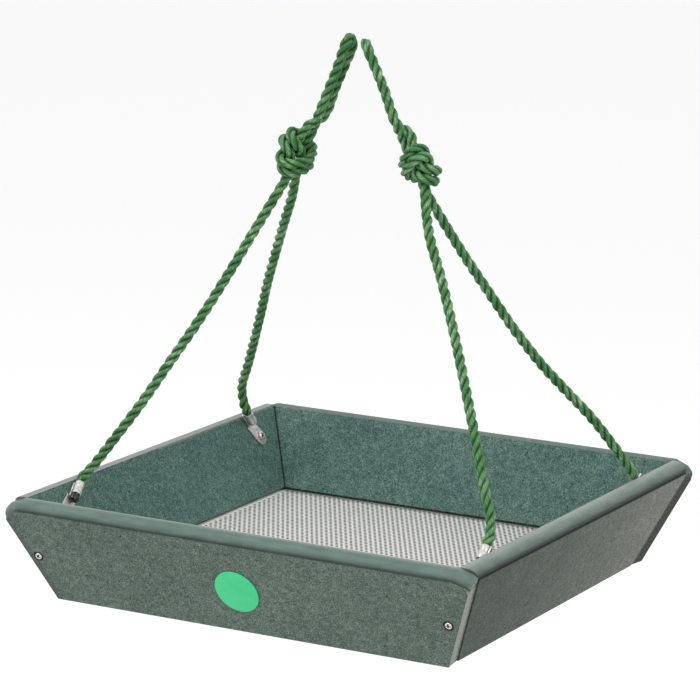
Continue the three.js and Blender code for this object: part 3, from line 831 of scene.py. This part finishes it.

# %% [markdown]
# The rounded rim is painted dark at its foot and pale at its top, painted shade and light across the curve
# with a little grime at the foot, darker on the side boards; its top is painted pale along its inner edge, a
# painted highlight. The left-hand rims are greyer than the right-hand ones.

# %% The boards' cut rims
END_ROUND_PAINTED_SHADING = ((0.0, 0.30), (0.17, 0.42), (0.34, 0.70), (0.5, 0.83), (0.64, 0.87), (0.8, 0.97), (0.95, 0.90))
SIDE_ROUND_PAINTED_SHADING = ((0.0, 0.06), (0.17, 0.10), (0.34, 0.24), (0.5, 0.54), (0.64, 0.68), (0.77, 0.80), (0.9, 0.95))
BACK_SHADE = (0.74, 0.74, 0.74, 1)
cut_place = skin.add("VectorMath", {0: place, 1: (1, 1, 6)}, operation="MULTIPLY").outputs[0]
cut_tone = skin.noise(70.0, vector=cut_place, detail=3.0)
end_cut = skin.ramp(cut_tone, (0.35, 104, 125, 117), (0.65, 118, 140, 132))
side_cut = skin.ramp(cut_tone, (0.35, 118, 135, 127), (0.65, 136, 152, 144))
round_share = skin.math("DIVIDE", over_rim, RIM_DROP, clamp=True)
# Painted shade and light: the rounding is darkened towards its foot and lightened towards its top.
end_round_painted_shading, side_round_painted_shading = (skin.greys(round_share, *stops) for stops in (END_ROUND_PAINTED_SHADING, SIDE_ROUND_PAINTED_SHADING))
end_round_painted_shading = skin.mix(behind, end_round_painted_shading, skin.mix(1.0, end_round_painted_shading, BACK_SHADE, blend="MULTIPLY"))
end_cut = skin.mix(1.0, end_cut, end_round_painted_shading, blend="MULTIPLY")
side_cut = skin.mix(1.0, side_cut, side_round_painted_shading, blend="MULTIPLY")
# Painted highlight: the rim tops are made pale along their inner edges.
end_painted_highlight = skin.times(skin.span(outward, 3.6 * MM, 0.4 * MM), in_front)
end_cut = skin.tint(end_cut, end_painted_highlight, 0.55, 172, 186, 179)
side_cut = skin.tint(side_cut, skin.span(outward, 7 * MM, 0.8 * MM), 0.55, 184, 192, 186)
side_cut = skin.tint(side_cut, to_the_left, 0.8, 147, 150, 148)
clipped = skin.times(skin.span(beyond, 0.5 * MM, 4 * MM), to_the_left)
end_cut = skin.tint(end_cut, clipped, 0.6, 126, 130, 128)
colour = skin.mix(rim, speckled, skin.mix(on_side_board, end_cut, side_cut))
# Painted highlight: the back board's inner face is made pale just under its top.
lip_painted_highlight = skin.span(height, TRAY_HEIGHT - 1.3 * MM, TRAY_HEIGHT - 0.8 * MM)
colour = skin.tint(colour, skin.times(lip_painted_highlight, behind, inside), 0.7, 138, 148, 142)
print("rim colours ready")

# %% [markdown]
# A thin dark line runs along the inner corners, the sawn ends of the front board are painted pale as painted
# light and those of the back board dark as painted shade, and each corner screw sits in a dark ring of
# painted shade round its head.

# %% The boards' seams, ends and screw rings
front_out = Vector((0, -math.cos(FLARE), -math.sin(FLARE)))
# The inner corners get a thin dark line where the boards meet.
inner_corner = skin.math("MINIMUM", past_side, past_end)
seam = skin.span(skin.math("ABSOLUTE", skin.math("ADD", inner_corner, FACE_EDGE)), 0.75 * MM, 0.35 * MM)
below_top = skin.math("LESS_THAN", height, TRAY_HEIGHT - 0.8 * MM)
colour = skin.tint(colour, skin.times(seam, below_top, inside), 0.85, 20, 32, 29)

front_rim = skin.times(rim, in_front)
back_top = skin.times(skin.span(over_rim, 2.5 * MM, 4 * MM), behind)
board_end = skin.times(
    skin.span(past_end_face, -1.8 * MM, -1.5 * MM),
    skin.span(past_end, 0.1 * MM, 0.3 * MM),
    skin.span(past_end, ACROSS_BOARD - 0.2 * MM, ACROSS_BOARD - 0.5 * MM),
    skin.rest(skin.math("MAXIMUM", front_rim, back_top)),
)
sawn_tone = skin.noise(700.0)
# Painted light and shade: the front board's sawn ends are pale and the back board's are dark.
sawn_painted_light = skin.ramp(sawn_tone, (0.35, 146, 150, 142), (0.65, 166, 169, 161))
sawn_painted_shade = skin.ramp(sawn_tone, (0.35, 58, 60, 56), (0.65, 76, 78, 73))
colour = skin.mix(board_end, colour, skin.mix(behind, sawn_painted_light, sawn_painted_shade))
end_strip = skin.times(skin.span(past_end_face, -5 * MM, -3 * MM), to_the_left, on_long_board)
end_strip = skin.times(end_strip, skin.rest(skin.math("MAXIMUM", board_end, rim)))
colour = skin.tint(colour, end_strip, 0.6, 92, 95, 95)

folded = skin.add("CombineXYZ", {"X": far_x, "Y": far_y, "Z": height}).outputs[0]
crown = middle_of_head("corner_screw_front_right", front_out)
crown_and_place = {0: folded, 1: (abs(crown.x), abs(crown.y), crown.z)}
from_screw = skin.add("VectorMath", crown_and_place, operation="DISTANCE").outputs["Value"]
# Painted shade: a dark ring round each corner screw's head, in its pocket.
colour = skin.tint(colour, skin.span(from_screw, 3.7 * MM, 3.3 * MM), 0.9, 24, 26, 25)
skin.set("Base Color", colour)
skin.set("Roughness", skin.math("SUBTRACT", 0.70, skin.times(rim, 0.24)))
skin.bump(skin.times(tone, skin.rest(skin.times(rim, 0.93))), 0.25 * MM)

for name in ("front_board", "back_board", "left_board", "right_board"):
    board = nodes[name]
    dress(board, skin)
    board.data.shade_smooth()
    edge = board.modifiers.new("eased edges", "BEVEL")
    edge.width = 0.4 * MM
    edge.segments = 2
    edge.limit_method = "ANGLE"
    edge.angle_limit = math.radians(35)
    edge.harden_normals = True
    print(name, len(board.data.polygons), "faces")

# %% [markdown]
# The small parts are all built from rings of points, each joined to the next.


# %% Helpers for meshes of rings
def circle(radius, height, sides):
    """Points round the Z axis."""
    turns = [math.tau * k / sides for k in range(sides)]
    return [Vector((radius * math.cos(t), radius * math.sin(t), height)) for t in turns]


def frame_at(place, out):
    """A frame at a place, with its Z along a direction."""
    frame_of = Vector(out).to_track_quat("Z", "Y").to_matrix().to_4x4()
    frame_of.translation = place
    return frame_of


def ringed(mesh, frame_of, rings, closed=False):
    """Rings of points joined one to the next, and the last to the first where they are closed."""
    made = [[mesh.verts.new(frame_of @ Vector(point)) for point in ring] for ring in rings]
    for low, high in zip(made, made[1:] + (made[:1] if closed else [])):
        for k in range(len(low)):
            after = (k + 1) % len(low)
            mesh.faces.new([low[k], low[after], high[after], high[k]])
    return made


def fan(mesh, ring, tip):
    """Triangles from a ring to one point."""
    top = mesh.verts.new(tip)
    for k in range(len(ring)):
        mesh.faces.new([ring[k], ring[(k + 1) % len(ring)], top])


def finished(name, mesh, finish):
    bmesh.ops.recalc_face_normals(mesh, faces=mesh.faces)
    made = bpy.data.meshes.new(name)
    mesh.to_mesh(made)
    mesh.free()
    made.shade_smooth()
    piece = add_piece(name, made)
    dress(piece, finish)
    return piece


print("ring helpers ready")

# %% [markdown]
# The label is a thin round vinyl disc with nothing on it. The solid has few sides, so a finer disc
# with a soft edge stands for it. Its outline is a profile turned about the disc's own axis.

# %% The label
LABEL_THICKNESS, LABEL_SIDES = 0.6 * MM, 96
label_low, label_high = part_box("round_label")
LABEL_RADIUS = (label_high.x - label_low.x) / 2
half = LABEL_THICKNESS / 2
label_profile = [
    (LABEL_RADIUS - 0.1 * MM, -half), (LABEL_RADIUS, -half * 0.5), (LABEL_RADIUS, half * 0.2),
    (LABEL_RADIUS - 0.12 * MM, half * 0.8), (LABEL_RADIUS - 0.4 * MM, half),
]
vinyl = Finish("green_vinyl", roughness=0.38)
vinyl.set("Base Color", vinyl.ramp(vinyl.noise(120.0), (0.3, 56, 224, 146), (0.7, 66, 232, 155)))
vinyl.bump(vinyl.noise(700.0), 0.02 * MM)
disc = bmesh.new()
frame_of = frame_at((label_low + label_high) / 2, front_out)
made = ringed(disc, frame_of, [circle(*step, LABEL_SIDES) for step in label_profile])
for ring, height in ((made[0][::-1], -half), (made[-1], half)):
    fan(disc, ring, frame_of @ Vector((0, 0, height)))
label = finished("vinyl_label", disc, vinyl)
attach(label, "tray")
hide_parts("round_label")
print("label", round(LABEL_RADIUS * 2 / MM, 1), "mm across")

# %% [markdown]
# A lug is one piece of tinned sheet: a leaf-shaped palm under the screw, a narrow strip bent off the
# board, and a short barrel that is crimped on the rope. It is built in the frame found above. The
# palm is made of rings round the screw hole, so that its edges can be softened.

# %% The lugs' sheet
PALM_HALF_WIDTH, STRIP_HALF_WIDTH, PALM_TIP = 5 * MM, 4 * MM, 6.4 * MM
SHANK_HOLE, SHEET_EASE, EAR_SHARE = 1.8 * MM, 0.28 * MM, 0.55
SHEET_LOW, SHEET_HIGH = TOUCH_GAP, TOUCH_GAP + LUG_SHEET


def bezier(p0, p1, p2, p3, count):
    t = np.linspace(0, 1, count, endpoint=False)[:, None]
    p0, p1, p2, p3 = (np.array(p) for p in (p0, p1, p2, p3))
    return (1 - t) ** 3 * p0 + 3 * (1 - t) ** 2 * t * p1 + 3 * (1 - t) * t**2 * p2 + t**3 * p3


def palm_outline():
    """The palm's edge as seen from the tray's middle, in the lug's own frame."""
    half, strip, tip, neck = PALM_HALF_WIDTH, STRIP_HALF_WIDTH, PALM_TIP, LUG_NECK
    below = [
        *bezier((neck, -strip), (neck * 0.55, -strip), (neck * 0.55, -half), (0, -half), 14),
        *bezier((0, -half), (-tip * 0.7, -half), (-tip, -half * 0.7), (-tip, 0), 12),
    ]
    above = [(x, -y) for x, y in below[:0:-1]]
    neck_end = [(neck, y) for y in np.linspace(strip, -strip, 6)[:-1]]
    return np.array([*below, (-tip, 0), *above, *neck_end])


def shrunk(outline, ease):
    """The outline moved in by a little, each point towards its own inside."""
    before, after = np.roll(outline, 1, 0), np.roll(outline, -1, 0)
    way = unit(after - before)
    return outline + np.stack([way[:, 1], -way[:, 0]], 1) * ease


def add_palm(mesh, frame_of):
    outline = palm_outline()
    hole = unit(outline) * SHANK_HOLE
    inset = shrunk(outline, SHEET_EASE)
    levels = [
        (hole, SHEET_LOW), (inset, SHEET_LOW), (outline, SHEET_LOW + SHEET_EASE),
        (outline, SHEET_HIGH - SHEET_EASE), (inset, SHEET_HIGH), (hole * 1.08, SHEET_HIGH),
        (hole, SHEET_HIGH - SHEET_EASE),
    ]
    ringed(mesh, frame_of, [[(x, y, z) for x, y in ring] for ring, z in levels], closed=True)


def add_strip(mesh, frame_of, side):
    """The strip under the barrel: rounded slab sections, with an ear on the barrel's back side."""
    ease, ear, near = SHEET_EASE, -STRIP_HALF_WIDTH, EAR_SHARE * STRIP_HALF_WIDTH
    low, high = SHEET_LOW, SHEET_HIGH
    section = [(ear + ease, low), (near - ease, low), (near, low + ease), (near, high - ease),
               (near - ease, high), (ear + ease, high), (ear, high - ease), (ear, low + ease)]
    length = BARREL_SETBACK + BARREL_LENGTH
    stations = [(0, 1), (length - 2 * ease, 1), (length - 0.6 * ease, 0.94), (length, 0.86)]
    rings = [
        [(run, -side * y * share, low + (z - low) * (0.5 + 0.5 * share)) for y, z in section]
        for run, share in stations
    ]
    made = ringed(mesh, frame_of, rings)
    mesh.faces.new(made[0][::-1])
    mesh.faces.new(made[-1])


print("palm edge", len(palm_outline()), "points")

# %% [markdown]
# The barrel's wall is a closed profile of radius and height: up the bore, over the lip and down the
# outside. The nip in its middle is where the crimping tool pressed it.

# %% The barrels and whole lugs
BARREL_SIDES, BARREL_EASE = 40, 0.1 * MM
NIP_DEPTH, NIP_REACH, NIP_SHARE = 0.22 * MM, 1.5 * MM, 0.55


def add_barrel(mesh, frame_of):
    outer, bore, tall, ease = BARREL_RADIUS, BARREL_RADIUS - BARREL_WALL, BARREL_LENGTH, BARREL_EASE
    lip = BARREL_WALL / 2
    profile = [(bore + ease, 1.5 * ease), (bore, lip), (bore, tall - lip), (bore + ease, tall - 1.5 * ease)]
    profile += [(bore + lip, tall), (outer - ease, tall - ease), (outer, tall - lip)]
    for run in np.linspace(tall - 2 * lip, 2 * lip, 14):
        nip = NIP_DEPTH * math.exp(-(((run - tall * NIP_SHARE) / NIP_REACH) ** 2))
        profile.append((outer - nip, run))
    profile += [(outer, lip), (outer - ease, ease), (bore + lip, 0)]
    rings = [[point.zxy for point in circle(*step, BARREL_SIDES)] for step in profile]
    ringed(mesh, frame_of, rings, closed=True)


tinned = Finish("tinned_metal", roughness=0.45, metallic=0.8)
tinned_tone = tinned.noise(420.0, detail=4.0)
tinned.set("Base Color", tinned.ramp(tinned_tone, (0.35, 188, 185, 183), (0.65, 226, 223, 220)))
tinned_wear = tinned.add("MapRange", {"Value": tinned.noise(900.0), "To Min": 0.38, "To Max": 0.55})
tinned.set("Roughness", tinned_wear.outputs[0])
tinned.bump(tinned.noise(700.0, detail=3.0), 0.04 * MM)
for name, lug in lugs.items():
    mesh = bmesh.new()
    add_palm(mesh, lug["frame"])
    add_strip(mesh, lug["frame"] @ Matrix.Translation((LUG_NECK, 0, 0)) @ lug["turn"], lug["side"])
    add_barrel(mesh, lug["frame"] @ Matrix.Translation(lug["start"]) @ lug["turn"])
    piece = finished("rope_lug_" + name, mesh, tinned)
    piece.modifiers.new("smooth by angle", "WEIGHTED_NORMAL").keep_sharp = True
    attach(piece, "tray")
    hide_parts("lug_" + name)
    print(piece.name, len(piece.data.polygons), "faces")

# %% [markdown]
# The screws are pan heads with a cross recess. The recess can't be a turned profile, so a head
# is a polar grid whose heights come from one function: a dome, minus a cross with sloping walls.
# Below the head the shank is turned, with a thread of small ridges. How deep each point lies in
# the cross is stored on the mesh, and the metal there is painted dark, as painted shade in the recess.

# %% Screws with a cross recess
HEAD_TURNS, HEAD_RINGS = 64, 18
CORNER_SIZE = CORNER_HEAD_RADIUS, CORNER_HEAD_HEIGHT, CORNER_SHANK = 2.3 * MM, 1.6 * MM, 30 * MM
LUG_SIZE = LUG_HEAD_RADIUS, LUG_HEAD_HEIGHT, LUG_SHANK = 2.9 * MM, 2.0 * MM, 10.5 * MM
SHANK_RADIUS, THREAD_PITCH, POINT_LENGTH = 1.5 * MM, 1.1 * MM, 2.4 * MM
CROSS_ARM, CROSS_HALF, CROSS_DEPTH = 0.74, 0.20, 0.6


def cross_share(x, y, radius):
    """1 at the bottom of the cross recess, 0 outside it, and between on its sloping walls."""
    arm, half = CROSS_ARM * radius, CROSS_HALF * radius
    a, b = sorted((abs(x), abs(y)))
    side_wall, end_wall = (half * 1.3 - a) / (half * 0.6), (arm - b) / (arm * 0.3)
    return min(1.0, max(0.0, side_wall)) * min(1.0, max(0.0, end_wall))


def head_height(x, y, radius, tall):
    """How high the head stands above its seat at a place, with its cross sunk in."""
    share = math.hypot(x, y) / radius
    dome = tall * (0.42 + 0.58 * math.sqrt(max(0.0, 1 - share**2.6)))
    return dome - cross_share(x, y, radius) * CROSS_DEPTH * tall


def screw_piece(name, seat, out, size, turn):
    radius, tall, length = size
    mesh = bmesh.new()
    frame_of = frame_at(seat, out)
    shank = [(0.05 * MM, -length), (SHANK_RADIUS * 0.8, -length + POINT_LENGTH)]
    for k in range(int((length - 3 * MM) / THREAD_PITCH)):
        low = -length + POINT_LENGTH + 0.2 * MM + k * THREAD_PITCH
        shank += [(SHANK_RADIUS * 0.82, low), (SHANK_RADIUS, low + THREAD_PITCH / 2)]
    shank += [(SHANK_RADIUS * 0.9, 0), (radius * 0.97, 0), (radius, 0.08 * MM)]
    rings = [circle(*step, HEAD_TURNS) for step in shank]
    recess = [0.0] * (len(shank) * HEAD_TURNS)
    for k in range(HEAD_RINGS, 0, -1):
        ring = circle(radius * k / HEAD_RINGS, 0, HEAD_TURNS)
        for point in ring:
            turned = Matrix.Rotation(turn, 2) @ point.xy
            point.z = head_height(*turned, radius, tall)
            recess.append(cross_share(*turned, radius))
        rings.append(ring)
    made = ringed(mesh, frame_of, rings)
    mesh.faces.new(made[0][::-1])
    fan(mesh, made[-1], frame_of @ Vector((0, 0, head_height(0, 0, radius, tall))))
    piece = finished(name, mesh, zinc)
    store(piece.data, "recess", np.array([*recess, 1.0]))
    return piece


zinc = Finish("bright_zinc", roughness=0.32, metallic=1.0)
plated = zinc.ramp(zinc.noise(600.0), (0.35, 196, 188, 186), (0.65, 228, 220, 218))
# Painted shade: the metal darkens where it lies deep in the cross recess.
zinc.set("Base Color", zinc.mix(zinc.stored("recess"), plated, ink(34, 30, 30)))
zinc.bump(zinc.noise(1500.0), 0.02 * MM)
for number, (name, lug) in enumerate(lugs.items()):
    wall_out = Vector((0, lug["end"] * math.cos(FLARE), -math.sin(FLARE)))
    corner_seat = middle_of_head("corner_screw_" + name, wall_out) - wall_out * CORNER_HEAD_HEIGHT
    lug_seat = lug["frame"] @ Vector((0, 0, 2 * TOUCH_GAP + LUG_SHEET))
    turn = math.radians(20 + 37 * number)
    for kind, seat, out, size in (
        ("corner_screw_", corner_seat, wall_out, CORNER_SIZE),
        ("lug_screw_", lug_seat, lug["frame"].col[2].xyz, LUG_SIZE),
    ):
        piece = screw_piece("crosshead_" + kind + name, seat, out, size, turn)
        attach(piece, "tray")
        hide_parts(kind + name)
print("screws", 2 * len(lugs))

# %% [markdown]
# The front feet end in a black bead below the barrel, where the rope's end was melted so that it
# can't fray or slip out. It is a small ball pushed about by noise, flattened against the strip.

# %% The melted ends
BEAD_HALF, BEAD_DROP = (3.1 * MM, 3.3 * MM, 2.5 * MM), 2.6 * MM
BEAD_FLAT = BARREL_RADIUS - BARREL_WELD - 0.1 * MM
melted = Finish("melted_twine", roughness=0.22)
melted_tone = melted.noise(500.0, detail=3.0)
melted.set("Base Color", melted.ramp(melted_tone, (0.40, 14, 16, 14), (0.72, 40, 48, 40)))
melted.bump(melted.noise(900.0), 0.25 * MM)
for name, lug in lugs.items():
    if lug["tail"] < 0:
        continue
    bead = bmesh.new()
    bmesh.ops.create_icosphere(bead, subdivisions=4, radius=1)
    spot = lug["frame"] @ Matrix.Translation(lug["start"]) @ lug["turn"]
    spot = spot @ Matrix.Translation((-BEAD_DROP, 0, 0))
    for vertex in bead.verts:
        lump = 1 + 0.10 * noise.noise(vertex.co * 1.7 + Vector((lug["side"], 3, 1)))
        grown = [part * half * lump for part, half in zip(vertex.co, BEAD_HALF)]
        vertex.co = spot @ Vector((*grown[:2], max(grown[2], -BEAD_FLAT)))
    piece = finished("melted_end_" + name, bead, melted)
    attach(piece, "tray")
    print(piece.name, len(piece.data.polygons), "faces")

# %% [markdown]
# The stage is a plain pale floor well under the hanging tray, in soft light from two big lamps and
# the sky. The sky lights the object evenly, and only what sees it straight on or mirrored finds it white.

# %% Floor, sky and lamps
FLOOR_DROP, FLOOR_REACH, FLOOR_GLOW = 0.5, 8.0, 0.45
SKY_LIGHT, SKY_SEEN = 0.55, 1.0
WHITE = (1, 1, 1, 1)


def seen_share(tree):
    """1 for rays that see a thing straight on, in a mirror or through glass, and 0 for the others."""
    rays = tree.nodes.new("ShaderNodeLightPath").outputs
    share = rays["Is Camera Ray"]
    for kind in ("Is Glossy Ray", "Is Transmission Ray"):
        either = tree.nodes.new("ShaderNodeMath")
        either.operation = "MAXIMUM"
        feed(tree, either, {0: share, 1: rays[kind]})
        share = either.outputs[0]
    return share


floor_mesh = bpy.data.meshes.new("pale_floor")
floor_corners = [(x * FLOOR_REACH, y * FLOOR_REACH, 0) for x, y in ((-1, -1), (1, -1), (1, 1), (-1, 1))]
floor_mesh.from_pydata(floor_corners, [], [(0, 1, 2, 3)])
floor = add_piece("pale_floor", floor_mesh)
floor.location.z = -FLOOR_DROP
pale = Finish("pale_floor", roughness=0.9)
pale.set("Base Color", (0.82, 0.82, 0.82, 1))
pale.set("Emission Color", WHITE)
pale.set("Emission Strength", pale.times(seen_share(pale.tree), FLOOR_GLOW))
dress(floor, pale)

world = bpy.data.worlds.new("soft_sky")
bpy.context.scene.world = world
world.use_nodes = True
sky = world.node_tree
level = sky.nodes.new("ShaderNodeMapRange")
feed(sky, level, {"Value": seen_share(sky), "To Min": SKY_LIGHT, "To Max": SKY_SEEN})
feed(sky, sky.nodes["Background"], {"Color": WHITE, "Strength": level.outputs[0]})


def lamp(name, at, aim, size, watts):
    light = bpy.data.lights.new(name, "AREA")
    light.shape, light.size, light.energy = "SQUARE", size, watts
    lamp_object = bpy.data.objects.new(name, light)
    lamp_object.location = at
    lamp_object.rotation_euler = (Vector(aim) - Vector(at)).to_track_quat("-Z", "Y").to_euler()
    bpy.context.scene.collection.objects.link(lamp_object)


TRAY_MIDDLE = (0, 0, 0.1)
lamp("big_softbox", (-0.9, -1.6, 2.4), TRAY_MIDDLE, 1.8, 34)
lamp("side_softbox", (2.2, -0.6, 1.2), TRAY_MIDDLE, 1.4, 14)
bpy.context.scene.view_settings.view_transform = "Standard"
print("stage set")

# %% [markdown]
# Last, the scene is brought up to date.

# %% Bringing the scene up to date
bpy.context.view_layer.update()
